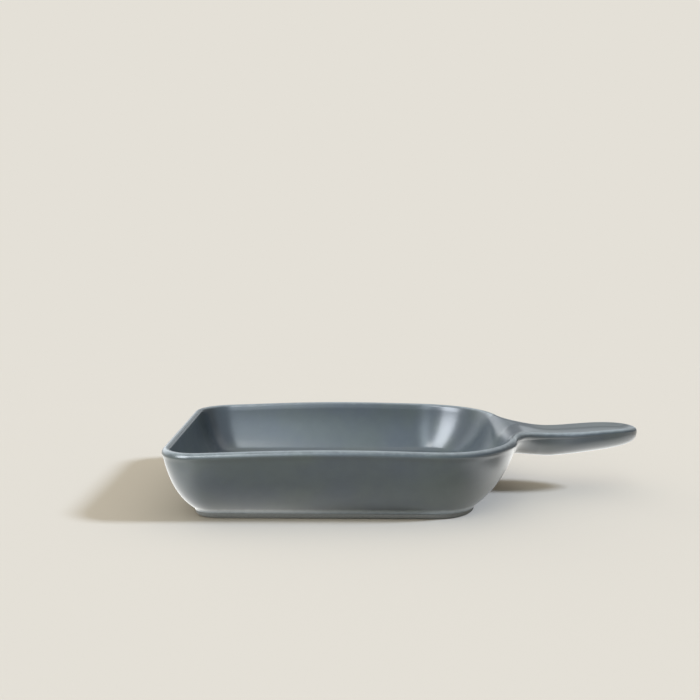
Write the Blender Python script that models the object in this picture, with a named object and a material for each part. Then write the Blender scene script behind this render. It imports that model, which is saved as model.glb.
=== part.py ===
"""One-handled baking dish of glazed stoneware, built from the clay pieces it is put together from.

Units are metres and +Z is up. X runs along the handle and Y across the dish. The origin is on the
table, under the middle of the whole length, and the XZ plane is the plane of symmetry.
"""

import math

import bmesh
import bpy
import numpy as np

# Plan of the rim, over its rolled edge. The right end stands out to a blunt nose at the handle.
BODY_LENGTH = 0.2091
NOSE_DEPTH = 0.0179
LEFT_WIDTH = 0.1574
RIGHT_WIDTH = 0.1608
LEFT_CORNER = 0.0218
RIGHT_CORNER = 0.0508
NOSE_CORNER = 0.1500

# How far the wall has come in at the foot, and the corners there
LEFT_TAPER = 0.0165
LEFT_SIDE_TAPER = 0.0144
RIGHT_SIDE_TAPER = 0.0132
SHOULDER_TAPER = 0.0161
FOOT_NOSE_DEPTH = 0.0025
FOOT_LEFT_CORNER = 0.0129
FOOT_RIGHT_CORNER = 0.0226
FOOT_NOSE_CORNER = 0.0300
SMALLEST_CORNER = 0.0020
ARC_SHARE = 0.95

# Rim line: its height at the left end, its climb to the nose, and the arch of the long sides
RIM_HEIGHT = 0.0394
RIM_CLIMB = 0.0007
SIDE_ARCH = 0.0018
ARCH_PLACE = 0.0900
ARCH_REACH = 0.0870

# Thickness of the clay, the rolled rim, and the turn from the wall to the floor inside
WALL = 0.0048
FLOOR = 0.0052
BEAD_RADIUS = 0.0027
BEAD_TUCK = math.radians(40.0)
FLOOR_TURN = 0.0060
FLOOR_FILLET = 0.0075

# The wall leans from upright by these angles, and more quickly towards the foot
TOP_LEAN = math.radians(15.3)
FOOT_LEAN = math.radians(60.4)
LEAN_POWER = 1.4

# Foot ring: its outer face turns under in a wide curve, and its corners are wider where it stands
FOOT_HEIGHT = 0.0031
FOOT_SETBACK = 0.0006
FOOT_WIDTH = 0.0056
FOOT_TURN = 0.0018
FOOT_CORNER_GROWTH = 0.0030
FOOT_EDGE = 0.0006

# Rounded turn of the body just above the foot ring
UNDER_EDGE = 0.0010

# Plan of the handle, with places measured from the nose
HANDLE_LENGTH = 0.0709
WAIST_PLACE = 0.0182
WAIST_WIDTH = 0.0280
GRIP_PLACE = 0.0382
GRIP_WIDTH = 0.0308
FLARE_RADIUS = 0.0290
FLARE_SWEEP = math.radians(72.0)
PLAN_POWER = 2.2
ROOT_REACH = 0.0163

# Side view and cross-section of the handle
HANDLE_STEP = 0.0008
WAIST_DIP = 0.0021
TIP_LIFT = 0.0020
TIP_TURN = 0.0100
TIP_DROP = 0.0009
HANDLE_DEPTH = 0.0164
TIP_DEPTH = 0.0126
DEPTH_POWER = 3.5
HANDLE_DISH = 0.0016
HANDLE_EDGE = 0.0022
TIP_BLUNTNESS = 0.0024
EDGE_SHARE = 0.45

# The clay pieces are joined with slip, and each face keeps a hair's clearance to the next piece
CLEARANCE = 0.0003
SLIP_THICKNESS = 0.0008

# Fineness of the meshes
CORNER_STEPS = 8
EDGE_STEPS = 6
WALL_STEPS = 9
BEAD_STEPS = 7
INNER_BEAD_STEPS = 4
FILLET_STEPS = 4
UNDER_STEPS = 3
HANDLE_STEPS = 12
SECTION_STEPS = 10
ROUND_STEPS = 3
FOOT_TURN_STEPS = 4
FOOT_EDGE_STEPS = 2
SMOOTH_ANGLE = math.radians(40.0)

GLAZE_COLOUR = (0.110, 0.130, 0.142, 1.0)
SLIP_COLOUR = (0.210, 0.225, 0.225, 1.0)
CLAY_COLOUR = (0.300, 0.285, 0.250, 1.0)
GLAZE_ROUGHNESS = 0.32
SLIP_ROUGHNESS = 0.40
CLAY_ROUGHNESS = 0.85

LEFT_END = -(BODY_LENGTH + HANDLE_LENGTH) / 2
NOSE = LEFT_END + BODY_LENGTH
WAIST = NOSE + WAIST_PLACE
GRIP = NOSE + GRIP_PLACE
TIP = NOSE + HANDLE_LENGTH


def clear_scene():
    for old in list(bpy.data.objects):
        bpy.data.objects.remove(old, do_unlink=True)


def new_collection(name):
    collection = bpy.data.collections.new(name)
    bpy.context.scene.collection.children.link(collection)
    return collection


def new_material(name, colour, roughness):
    material = bpy.data.materials.new(name)
    material.use_nodes = True
    shader = material.node_tree.nodes["Principled BSDF"]
    shader.inputs["Base Color"].default_value = colour
    shader.inputs["Roughness"].default_value = roughness
    shader.inputs["Metallic"].default_value = 0.0
    material.diffuse_color = colour
    return material


def blend(at_rim, at_foot, fraction):
    return at_rim + (at_foot - at_rim) * fraction


def wall_outline(fraction):
    """Corners of the plan and their radii, at the rim (fraction 0), the foot (1) or between."""
    left = LEFT_END + LEFT_TAPER * fraction
    shoulder = NOSE - NOSE_DEPTH - SHOULDER_TAPER * fraction
    nose = shoulder + blend(NOSE_DEPTH, FOOT_NOSE_DEPTH, fraction)
    half_left = LEFT_WIDTH / 2 - LEFT_SIDE_TAPER * fraction
    half_right = RIGHT_WIDTH / 2 - RIGHT_SIDE_TAPER * fraction
    near = [(left, -half_left), (shoulder, -half_right)]
    far = [(shoulder, half_right), (left, half_left)]
    left_radius = blend(LEFT_CORNER, FOOT_LEFT_CORNER, fraction)
    right_radius = blend(RIGHT_CORNER, FOOT_RIGHT_CORNER, fraction)
    nose_radius = blend(NOSE_CORNER, FOOT_NOSE_CORNER, fraction)
    radii = [left_radius, right_radius, nose_radius, right_radius, left_radius]
    return np.array(near + [(nose, 0.0)] + far), np.array(radii)


def inset_outline(corners, radii, distance):
    """The same outline with every side moved inwards by the distance."""
    into = corners - np.roll(corners, 1, axis=0)
    out = np.roll(corners, -1, axis=0) - corners
    into = into / np.linalg.norm(into, axis=1, keepdims=True)
    out = out / np.linalg.norm(out, axis=1, keepdims=True)
    inward = np.stack([-into[:, 1] - out[:, 1], into[:, 0] + out[:, 0]], axis=1)
    scale = 1.0 + np.sum(into * out, axis=1, keepdims=True)
    return corners + distance * inward / scale, np.maximum(radii - distance, SMALLEST_CORNER)


def round_outline(corners, radii):
    """Points round the outline: an arc at each corner, and even steps along each side.

    The arcs at the two ends of a side share it, and leave some of it straight.
    """
    sides = np.roll(corners, -1, axis=0) - corners
    lengths = np.linalg.norm(sides, axis=1)
    headings = np.arctan2(sides[:, 1], sides[:, 0])
    before = np.roll(headings, 1)
    turns = (headings - before) % (2 * math.pi)
    reaches = radii * np.tan(turns / 2)
    room = np.minimum(1.0, ARC_SHARE * lengths / (reaches + np.roll(reaches, -1)))
    fit = np.minimum(room, np.roll(room, 1))
    reaches = reaches * fit
    radii = radii * fit
    starts = corners - reaches[:, None] * np.stack([np.cos(before), np.sin(before)], axis=1)
    centres = starts + radii[:, None] * np.stack([-np.sin(before), np.cos(before)], axis=1)
    points = []
    for i in range(len(corners)):
        angles = before[i] - math.pi / 2 + np.linspace(0.0, turns[i], CORNER_STEPS + 1)
        arc = centres[i] + radii[i] * np.stack([np.cos(angles), np.sin(angles)], axis=1)
        along = np.linspace(0.0, 1.0, EDGE_STEPS + 1)[1:-1, None]
        points.append(arc)
        points.append(blend(arc[-1], starts[(i + 1) % len(corners)], along))
    return np.concatenate(points)


def plan_ring(fraction, inset):
    return round_outline(*inset_outline(*wall_outline(fraction), inset))


def with_height(plan, height):
    return np.column_stack([plan, np.broadcast_to(height, len(plan))])


def rim_crest(x):
    """Height of the rim's top line: a slow climb to the handle, and an arch along the sides."""
    along = (x - LEFT_END) / BODY_LENGTH
    arch = np.clip(1.0 - ((x - LEFT_END - ARCH_PLACE) / ARCH_REACH) ** 2, 0.0, 1.0) ** 2
    return RIM_HEIGHT + RIM_CLIMB * along + SIDE_ARCH * arch


def wall_profile():
    """Lean of the wall at even steps down it, and how far in and down it has come by then."""
    steps = np.linspace(0.0, 1.0, WALL_STEPS + 1)
    lean = blend(TOP_LEAN, FOOT_LEAN, steps ** LEAN_POWER)
    middle = (lean[1:] + lean[:-1]) / 2
    inwards = np.concatenate([[0.0], np.cumsum(np.sin(middle))])
    down = np.concatenate([[0.0], np.cumsum(np.cos(middle))])
    return lean, inwards / inwards[-1], down / down[-1]


def wall_ring(inwards, down, lean, depth):
    """A ring of the wall, taken square to the outer face at a depth in the clay."""
    tuck = BEAD_RADIUS * (1 - math.cos(BEAD_TUCK)) * (1 - inwards)
    top = rim_crest(plan_ring(inwards, tuck)[:, 0]) - BEAD_RADIUS * (1 + math.sin(BEAD_TUCK))
    height = blend(top, FOOT_HEIGHT + UNDER_EDGE, down) + depth * math.sin(lean)
    return with_height(plan_ring(inwards, tuck + depth * math.cos(lean)), height)


def bead_ring(angle, growth):
    """A ring of the rolled rim. Angle 0 is its outermost line and a quarter turn is its top."""
    radius = BEAD_RADIUS + growth
    plan = plan_ring(0.0, BEAD_RADIUS - radius * math.cos(angle))
    return with_height(plan, rim_crest(plan[:, 0]) - BEAD_RADIUS + radius * math.sin(angle))


def outer_rings(growth):
    """Rings up the outside, from the foot to the top of the rim, grown outwards by a clearance."""
    lean, inwards, down = wall_profile()
    rings = [wall_ring(inwards[k], down[k], lean[k], -growth) for k in range(WALL_STEPS, -1, -1)]
    for angle in np.linspace(-BEAD_TUCK, math.pi / 2, BEAD_STEPS + 1)[1:]:
        rings.append(bead_ring(angle, growth))
    return rings


def inner_rings():
    """Rings down the inside, from the top of the rim over a curved turn to the flat floor."""
    angles = np.linspace(math.pi / 2, math.pi, INNER_BEAD_STEPS + 1)[1:-1]
    rings = [bead_ring(angle, 0.0) for angle in angles]
    floor = FOOT_HEIGHT + FLOOR
    lean, inwards, down = wall_profile()
    wall = [wall_ring(*step, WALL) for step in zip(inwards, down, lean)]
    kept = [ring for ring in wall[1:] if ring[:, 2].min() > floor + FLOOR_TURN]
    last = len(kept)
    edge = kept[-1][:, 2]
    start = WALL * math.cos(lean[last])
    corner = start + (edge.mean() - floor) * math.tan(lean[last])
    end = corner + FLOOR_FILLET
    for t in np.linspace(0.0, 1.0, FILLET_STEPS + 1)[1:]:
        inset = (1 - t) ** 2 * start + 2 * t * (1 - t) * corner + t ** 2 * end
        kept.append(with_height(plan_ring(inwards[last], inset), blend(floor, edge, (1 - t) ** 2)))
    return rings + kept


def under_rings():
    """Rings of the rounded turn under the wall, from the flat underside outwards and up."""
    rings = []
    for angle in np.linspace(math.pi / 2, 0.0, UNDER_STEPS + 1)[:-1]:
        plan = plan_ring(1.0, UNDER_EDGE * (1 - math.cos(angle)))
        rings.append(with_height(plan, FOOT_HEIGHT + UNDER_EDGE * (1 - math.sin(angle))))
    return rings


def loft(name, rings, material, collection):
    """A closed solid through rings of equal counts, with one face over each end ring."""
    count = len(rings[0])
    mesh = bmesh.new()
    grid = [[mesh.verts.new(point) for point in ring] for ring in rings]
    for low, high in zip(grid[:-1], grid[1:]):
        for j in range(count):
            k = (j + 1) % count
            mesh.faces.new((low[j], low[k], high[k], high[j]))
    mesh.faces.new(grid[0][::-1])
    mesh.faces.new(grid[-1])
    bmesh.ops.recalc_face_normals(mesh, faces=mesh.faces)
    data = bpy.data.meshes.new(name)
    mesh.to_mesh(data)
    mesh.free()
    data.shade_smooth()
    data.set_sharp_from_angle(angle=SMOOTH_ANGLE)
    data.materials.append(material)
    built = bpy.data.objects.new(name, data)
    collection.objects.link(built)
    return built


def cut(target, cutter, operation):
    step = target.modifiers.new(cutter.name, "BOOLEAN")
    step.operation = operation
    step.solver = "EXACT"
    step.object = cutter


def handle_half_width(x):
    """Half the handle's width: a flare out of the dish, a waist, a fuller grip and a round tip."""
    waist = WAIST_WIDTH / 2
    grip = GRIP_WIDTH / 2
    if x < WAIST:
        sweep = math.asin(min((WAIST - x) / FLARE_RADIUS, math.sin(FLARE_SWEEP)))
        return waist + FLARE_RADIUS * (1 - math.cos(sweep))
    if x < GRIP:
        return blend(waist, grip, (1 - math.cos(math.pi * (x - WAIST) / (GRIP - WAIST))) / 2)
    along = min((x - GRIP) / (TIP - GRIP), 1.0)
    return max(grip * (1 - along ** PLAN_POWER) ** (1 / PLAN_POWER), TIP_BLUNTNESS / 2)


def handle_crest(x):
    """Height of the handle's raised edges: a dip to the waist, then a lift that turns over."""
    rim = rim_crest(NOSE)
    if x < WAIST:
        back = min((WAIST - x) / WAIST_PLACE, 1.0)
        return blend(rim - WAIST_DIP, rim - HANDLE_STEP, back ** 2)
    lift = min((x - WAIST) / (TIP - WAIST - TIP_TURN), 1.0)
    turn = max((x - TIP + TIP_TURN) / TIP_TURN, 0.0)
    return rim - WAIST_DIP + TIP_LIFT * (1 - math.cos(math.pi * lift)) / 2 - TIP_DROP * turn ** 2


def handle_depth(x):
    """Depth of the round underside below the raised edges, closing quickly at the tip."""
    depth = blend(HANDLE_DEPTH, TIP_DEPTH, min(max((x - WAIST) / (TIP - WAIST), 0.0), 1.0))
    end = min(max((x - GRIP) / (TIP - GRIP), 0.0), 1.0)
    return depth * (1 - end ** DEPTH_POWER) ** (1 / DEPTH_POWER)


def handle_section(x):
    """One cross-section: dished top, rounded edges, and a belly that is narrower than the flare."""
    half = handle_half_width(x)
    crest = handle_crest(x)
    edge = min(HANDLE_EDGE, EDGE_SHARE * half)
    depth = max(handle_depth(x), 2 * edge)
    dish = HANDLE_DISH * min(half / (WAIST_WIDTH / 2), 1.0)
    belly = max(half / (GRIP_WIDTH / 2), 1.0)
    section = []
    for across in np.linspace(-1.0, 1.0, SECTION_STEPS + 1):
        section.append((x, (half - edge) * across, crest - dish * (1 - across ** 2)))
    for angle in np.linspace(math.pi / 2, 0.0, ROUND_STEPS + 1)[1:]:
        section.append((x, half - edge + edge * math.cos(angle), crest - edge + edge * math.sin(angle)))
    for angle in np.linspace(0.0, math.pi, 2 * SECTION_STEPS + 1)[1:]:
        below = (depth - edge) * math.sin(angle) ** belly
        section.append((x, half * math.cos(angle), crest - edge - below))
    for angle in np.linspace(math.pi, math.pi / 2, ROUND_STEPS + 1)[1:-1]:
        section.append((x, edge - half + edge * math.cos(angle), crest - edge + edge * math.sin(angle)))
    return np.array(section)


def handle_sections():
    """Cross-sections from inside the dish to the tip, closer together where the tip closes."""
    straight = np.linspace(NOSE - ROOT_REACH, GRIP, HANDLE_STEPS + 1)
    quarter = np.linspace(0.0, math.pi / 2, HANDLE_STEPS + 1)[1:]
    places = np.concatenate([straight, GRIP + (TIP - GRIP) * np.sin(quarter)])
    return [handle_section(x) for x in places]


def dish_space(name, growth, material, cutters):
    """A cutter as large as the whole dish, grown by a clearance and carried on above the rim."""
    rings = outer_rings(growth)
    roof = rings[-1].copy()
    roof[:, 2] = roof[:, 2].max() + HANDLE_DEPTH
    cutter = loft(name, rings + [roof], material, cutters)
    cutter.hide_render = True
    cutter.display_type = "WIRE"
    return cutter


def build_dish_body(material, collection):
    loft("dish_body", under_rings() + outer_rings(0.0) + inner_rings(), material, collection)


def build_handle(material, collection, cutters):
    """The pressed handle, cut at its root to follow the curve of the wall and the rolled rim."""
    handle = loft("handle", handle_sections(), material, collection)
    seat = dish_space("handle_seat", 2 * CLEARANCE + SLIP_THICKNESS, material, cutters)
    cut(handle, seat, "DIFFERENCE")


def build_handle_slip(material, collection, cutters):
    """The layer of slip between the handle's root and the wall, with the handle's own outline."""
    slip = loft("handle_slip", handle_sections(), material, collection)
    outer_face = dish_space("slip_outer_face", CLEARANCE + SLIP_THICKNESS, material, cutters)
    inner_face = dish_space("slip_inner_face", CLEARANCE, material, cutters)
    cut(slip, outer_face, "INTERSECT")
    cut(slip, inner_face, "DIFFERENCE")


def foot_plan(inset, turned):
    """The plan of the foot ring. Its corners grow as its outer face turns under, from 0 to 1."""
    corners, radii = wall_outline(1.0)
    return round_outline(*inset_outline(corners, radii + FOOT_CORNER_GROWTH * turned, inset))


def foot_outer_rings(height):
    """Rings up the outside of the foot, from the flat face that it stands on to its top."""
    rings = []
    for angle in np.linspace(math.pi / 2, 0.0, FOOT_TURN_STEPS + 1):
        turned = 1 - math.cos(angle)
        plan = foot_plan(FOOT_SETBACK + FOOT_TURN * turned, turned)
        rings.append(with_height(plan, height * (1 - math.sin(angle))))
    return rings


def foot_hole_rings(height):
    """Rings up the hole of the foot, wider below for a rounded edge, and past both of its faces."""
    inner = FOOT_SETBACK + FOOT_WIDTH
    rings = [with_height(foot_plan(inner - FOOT_EDGE, 1.0), -height)]
    for angle in np.linspace(0.0, math.pi / 2, FOOT_EDGE_STEPS + 1):
        plan = foot_plan(inner - FOOT_EDGE * (1 - math.sin(angle)), 1.0)
        rings.append(with_height(plan, FOOT_EDGE * (1 - math.cos(angle))))
    rings.append(with_height(foot_plan(inner, 1.0), 2 * height))
    return rings


def build_foot_ring(material, collection, cutters):
    """The standing ring: a low block that turns under at its outer face, with its hole cut out."""
    height = FOOT_HEIGHT - CLEARANCE
    ring = loft("foot_ring", foot_outer_rings(height), material, collection)
    hole = loft("foot_hole", foot_hole_rings(height), material, cutters)
    hole.hide_render = True
    hole.display_type = "WIRE"
    cut(ring, hole, "DIFFERENCE")


def main():
    clear_scene()
    parts = new_collection("baking_dish")
    cutters = new_collection("cutters")
    dish_glaze = new_material("slate_glaze_dish", GLAZE_COLOUR, GLAZE_ROUGHNESS)
    handle_glaze = new_material("slate_glaze_handle", GLAZE_COLOUR, GLAZE_ROUGHNESS)
    slip = new_material("glazed_slip", SLIP_COLOUR, SLIP_ROUGHNESS)
    bare_clay = new_material("bare_stoneware", CLAY_COLOUR, CLAY_ROUGHNESS)
    build_dish_body(dish_glaze, parts)
    build_handle(handle_glaze, parts, cutters)
    build_handle_slip(slip, parts, cutters)
    build_foot_ring(bare_clay, parts, cutters)


main()
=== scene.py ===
# %% [markdown]
# # A stoneware baking dish with one handle
# The plain model of the dish is already made: it has the right shapes and sizes, but flat facets and
# flat colours. This lesson dresses it. The glazed skin is worked out again as smooth surfaces, with
# numpy, and then it gets a glaze, a bare clay foot, a table, lamps and a camera.
#
# First the plain model is loaded. Everything is in metres, X runs along the handle, Y across the
# dish and Z up, and the dish stands on the plane Z = 0.

# %% Load the plain model
import math

import bpy
import numpy as np
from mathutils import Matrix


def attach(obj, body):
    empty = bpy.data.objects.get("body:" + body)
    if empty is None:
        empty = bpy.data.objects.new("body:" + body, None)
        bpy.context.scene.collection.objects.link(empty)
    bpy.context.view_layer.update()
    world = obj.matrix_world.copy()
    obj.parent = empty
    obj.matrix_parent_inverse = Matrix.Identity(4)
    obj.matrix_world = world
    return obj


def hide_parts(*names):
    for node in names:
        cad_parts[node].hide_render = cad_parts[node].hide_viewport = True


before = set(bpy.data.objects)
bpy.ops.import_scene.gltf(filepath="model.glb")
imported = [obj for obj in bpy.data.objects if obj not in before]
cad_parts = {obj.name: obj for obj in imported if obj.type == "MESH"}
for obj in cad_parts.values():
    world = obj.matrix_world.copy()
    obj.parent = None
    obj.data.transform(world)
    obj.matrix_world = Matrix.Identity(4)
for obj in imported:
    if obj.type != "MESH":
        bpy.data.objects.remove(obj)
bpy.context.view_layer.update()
print("plain model:", sorted(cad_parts))

# %% [markdown]
# ## The sizes
# A skin that is worked out again has to sit exactly where the plain pieces are, so it starts from the
# same sizes. They fall into four groups: the plan of the dish at the rim and at the foot, the line of
# the rim, the thickness of the clay, and the handle.

# %% Sizes of the dish
LEFT_END = -0.1400
NOSE = 0.0691
NOSE_DEPTH = 0.0179
LEFT_WIDTH = 0.1574
RIGHT_WIDTH = 0.1608
RIM_CORNERS = (0.0218, 0.0508, 0.1500)
FOOT_CORNERS = (0.0129, 0.0226, 0.0300)
LEFT_TAPER = 0.0165
LEFT_SIDE_TAPER = 0.0144
RIGHT_SIDE_TAPER = 0.0132
SHOULDER_TAPER = 0.0161
FOOT_NOSE_DEPTH = 0.0025
RIM_HEIGHT = 0.0394
RIM_CLIMB = 0.0007
SIDE_ARCH = 0.00176
ARCH_PLACE = 0.0900
ARCH_REACH = 0.0870
WALL = 0.0048
FLOOR_HEIGHT = 0.0083
BEAD = 0.0027
TUCK = math.radians(40.0)
TOP_LEAN = math.radians(15.3)
FOOT_LEAN = math.radians(60.4)
LEAN_POWER = 1.4
FLOOR_TURN = 0.0036
FLOOR_FILLET = 0.0060
FOOT_HEIGHT = 0.0031
SHOULDER = 0.0011
FOOT_SETBACK = 0.0006
print("body of the dish:", round((NOSE - LEFT_END) * 1000, 1), "mm long,",
      RIGHT_WIDTH * 1000, "mm wide")

# %% Sizes of the handle
TIP = 0.1400
WAIST = 0.0873
WAIST_HALF = 0.0140
GRIP = 0.1073
GRIP_HALF = 0.0154
PLAN_POWER = 2.2
WAIST_DIP = 0.0021
TIP_LIFT = 0.0020
TIP_TURN = 0.0100
TIP_DROP = 0.0009
HANDLE_DEPTH = 0.0164
TIP_DEPTH = 0.0126
DEPTH_POWER = 3.5
HANDLE_DISH = 0.0016
HANDLE_EDGE = 0.0022
ROOT_ROLL = 0.0110
ROOT_FALL = 0.0150
print("handle:", round((TIP - NOSE) * 1000, 1), "mm long,", GRIP_HALF * 2000, "mm wide at the grip")

# %% [markdown]
# ## The plan at any level
# Seen from above, the rim is a rectangle whose right end stands out to a blunt nose. The foot has the
# same five corners, drawn in. A level between the two blends them. The corners are rounded by arcs,
# and then the ring is softened a little, because a hand-finished mould has no place where an arc
# stops and a straight line starts, and a glossy glaze would show one at once.
#
# The softening is done with a Fourier transform: short waves along the ring are faded out.

# %% A ring of points round the dish
AROUND = 512
SOFTENING = 0.0020
CORNER_STEPS = 24
SMALLEST_CORNER = 0.009


def soften(ring, reach):
    """Values round a closed even ring, each replaced by a bell-shaped average of its neighbours.

    In the Fourier transform the wave of frequency f is multiplied by exp(-2 (pi f reach)^2).
    """
    spacing = np.linalg.norm(np.roll(ring, -1, axis=0) - ring, axis=1).mean()
    waves = np.fft.rfftfreq(len(ring), spacing)
    fade = np.exp(-2.0 * (math.pi * waves * reach) ** 2)
    return np.fft.irfft(np.fft.rfft(ring, axis=0) * fade[:, None], len(ring), axis=0)


def spaced(line, count, with_end):
    """A line resampled to points that lie the same distance apart along it."""
    run = np.concatenate([[0.0], np.cumsum(np.linalg.norm(np.diff(line, axis=0), axis=1))])
    places = np.linspace(0.0, run[-1], count, endpoint=with_end)
    return np.column_stack([np.interp(places, run, line[:, k]) for k in range(2)])


def even(points, count):
    """The closed line through these points, resampled evenly."""
    return spaced(np.vstack([points, points[:1]]), count, False)


def unit(vectors):
    """Vectors divided by their lengths."""
    return vectors / np.linalg.norm(vectors, axis=-1, keepdims=True)


def rounded(corners, radii):
    """The polygon with an arc at each corner, starting from the middle of its last side.

    An arc starts radius times tan(half the turn) before its corner.
    """
    sides = np.roll(corners, -1, axis=0) - corners
    headings = np.arctan2(sides[:, 1], sides[:, 0])
    before = np.roll(headings, 1)
    turns = (headings - before) % (2.0 * math.pi)
    reach = radii * np.tan(turns / 2.0)
    starts = corners - reach[:, None] * np.stack([np.cos(before), np.sin(before)], axis=1)
    centres = starts + radii[:, None] * np.stack([-np.sin(before), np.cos(before)], axis=1)
    share = np.linspace(0.0, 1.0, CORNER_STEPS + 1)
    angles = before[:, None] - math.pi / 2.0 + turns[:, None] * share
    swing = np.stack([np.cos(angles), np.sin(angles)], axis=2)
    arcs = centres[:, None] + radii[:, None, None] * swing
    middle = (corners[0] + corners[-1]) / 2.0
    return np.vstack([middle, arcs.reshape(-1, 2)])


def level_corners(fraction, inset):
    """Corners and radii of the plan at a level (0 rim, 1 foot), moved in by an inset.

    A corner moves along the sum of its sides' inward normals, over 1 plus the cosine of the turn.
    """
    left = LEFT_END + LEFT_TAPER * fraction
    shoulder = NOSE - NOSE_DEPTH - SHOULDER_TAPER * fraction
    nose = shoulder + NOSE_DEPTH + (FOOT_NOSE_DEPTH - NOSE_DEPTH) * fraction
    half_left = LEFT_WIDTH / 2.0 - LEFT_SIDE_TAPER * fraction
    half_right = RIGHT_WIDTH / 2.0 - RIGHT_SIDE_TAPER * fraction
    corners = np.array([(left, -half_left), (shoulder, -half_right), (nose, 0.0),
                        (shoulder, half_right), (left, half_left)])
    three = np.array(RIM_CORNERS) + (np.array(FOOT_CORNERS) - np.array(RIM_CORNERS)) * fraction
    into = unit(corners - np.roll(corners, 1, axis=0))
    out = unit(np.roll(corners, -1, axis=0) - corners)
    inward = np.stack([-into[:, 1] - out[:, 1], into[:, 0] + out[:, 0]], axis=1)
    moved = corners + inset * inward / (1.0 + np.sum(into * out, axis=1, keepdims=True))
    return moved, np.maximum(three[[0, 1, 2, 1, 0]] - inset, SMALLEST_CORNER)


def plan_ring(fraction, inset):
    """The softened plan at a level, as AROUND even points from the middle of the left end."""
    return soften(even(rounded(*level_corners(fraction, inset)), AROUND), SOFTENING)


rim_plan = plan_ring(0.0, 0.0)
print("the rim's outline spans", np.round(np.ptp(rim_plan, axis=0) * 1000, 1), "mm")

# %% [markdown]
# ## The line of the rim and the curve of the wall
# The top line of the rim isn't level. It climbs slowly to the handle, and along the long sides it
# arches by under two millimetres, as a fired rim does.
#
# The wall leans out from the foot. Its lean from upright is 15 degrees under the rim and 60 degrees at
# the foot, and it grows faster and faster on the way down. Adding up small steps with that lean gives
# how far the wall has come in and down at each place.

# %% The rim line and the wall's course


def rim_crest(x):
    """Height of the rim's top line: a straight climb plus an arch.

    The arch follows (1 - d^2)^2, where d is the distance from its middle as a share of its reach.
    """
    along = (x - LEFT_END) / (NOSE - LEFT_END)
    arch = np.clip(1.0 - ((x - LEFT_END - ARCH_PLACE) / ARCH_REACH) ** 2, 0.0, 1.0) ** 2
    return RIM_HEIGHT + RIM_CLIMB * along + SIDE_ARCH * arch


def running_sum(values):
    """Running area under even samples by the trapezoid rule, from 0 to 1."""
    total = np.concatenate([[0.0], np.cumsum((values[1:] + values[:-1]) / 2.0)])
    return total / total[-1]


wall_share = np.linspace(0.0, 1.0, 201)
wall_lean = TOP_LEAN + (FOOT_LEAN - TOP_LEAN) * wall_share ** LEAN_POWER
wall_in = running_sum(np.sin(wall_lean))
wall_down = running_sum(np.cos(wall_lean))


def wall_ring(share, depth):
    """A ring of the wall: share 0 is under the rim and 1 at the foot.

    Depth is measured square to the outside, so it moves a ring in by depth times the cosine of the
    lean, and up by depth times its sine.
    """
    lean = np.interp(share, wall_share, wall_lean)
    inwards = np.interp(share, wall_share, wall_in)
    down = np.interp(share, wall_share, wall_down)
    tuck = BEAD * (1.0 - math.cos(TUCK)) * (1.0 - inwards)
    plan = plan_ring(inwards, tuck + depth * math.cos(lean))
    top = rim_crest(plan_ring(inwards, tuck)[:, 0]) - BEAD * (1.0 + math.sin(TUCK))
    height = top + (FOOT_HEIGHT + SHOULDER - top) * down + depth * math.sin(lean)
    return np.column_stack([plan, height])


print("half way down, the wall has come in by", round(100 * float(wall_in[100])), "%")

# %% [markdown]
# ## The outline of the dish and its handle together
# The rolled edge of the rim doesn't stop at the handle. It sweeps out along the handle, round its tip
# and back. So the two share one outline: the rim, a hollow flare that touches both the nose and the
# waist, a fuller grip, and a round tip. The flare's radius isn't chosen. It follows from the two
# lines that it has to touch.

# %% The shared outline
OUTLINE_POINTS = 4096
TIP_ALLOWANCE = 0.00017  # the softening draws the round tip in by this much
nose_turn = math.atan2(NOSE_DEPTH, RIGHT_WIDTH / 2.0)
nose_normal = np.array([math.cos(nose_turn), math.sin(nose_turn)])
flare_radius = (WAIST * nose_normal[0] + WAIST_HALF * nose_normal[1] - NOSE * nose_normal[0])
flare_radius = flare_radius / (1.0 - nose_normal[1])
flare_centre = np.array([WAIST, WAIST_HALF + flare_radius])


def handle_side(count):
    """The far side of the handle's outline from the nose to the tip: flare arc, grip and round tip.

    The grip is half a cosine wave, and the tip follows |x|^p + |y|^p = 1 with p a little over 2.
    """
    turn = np.linspace(math.pi + nose_turn, 1.5 * math.pi, count)
    flare = flare_centre + flare_radius * np.stack([np.cos(turn), np.sin(turn)], axis=1)
    along = np.linspace(0.0, 1.0, count)[1:]
    swell = WAIST_HALF + (GRIP_HALF - WAIST_HALF) * (1.0 - np.cos(math.pi * along)) / 2.0
    grip = np.stack([WAIST + (GRIP - WAIST) * along, swell], axis=1)
    angle = np.linspace(0.0, math.pi / 2.0, 2 * count)[1:]
    reach = np.sin(angle) ** (2.0 / PLAN_POWER)
    width = np.clip(np.cos(angle), 0.0, 1.0) ** (2.0 / PLAN_POWER)
    tip = np.stack([GRIP + (TIP + TIP_ALLOWANCE - GRIP) * reach, GRIP_HALF * width], axis=1)
    return np.vstack([flare, grip, tip])


far_side = handle_side(80)
flare_foot = far_side[0]
rim_polyline = rounded(*level_corners(0.0, 0.0))
near_half = rim_polyline[rim_polyline[:, 1] < -flare_foot[1] - 0.0005]
near_side = (far_side * [1.0, -1.0])[:-1]
whole = np.vstack([rim_polyline[:1], near_half, near_side, far_side[::-1],
                   (near_half * [1.0, -1.0])[::-1]])
whole = soften(even(whole, OUTLINE_POINTS), SOFTENING)
print("flare radius", round(flare_radius * 1000, 1), "mm, outline",
      np.round(np.ptp(whole, axis=0) * 1000, 1), "mm")

# %% [markdown]
# ## The edge of the handle
# The far half of the outline, from where the flare leaves the rim to the tip, is all that is needed,
# because the near half mirrors it. The rolled edge is an arc swung square to the outline. Its top
# line, the crest, is where the handle's dished top begins.

# %% The handle's crest line
ROWS = 150
FLARE_LEAD = 0.0060


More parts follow.
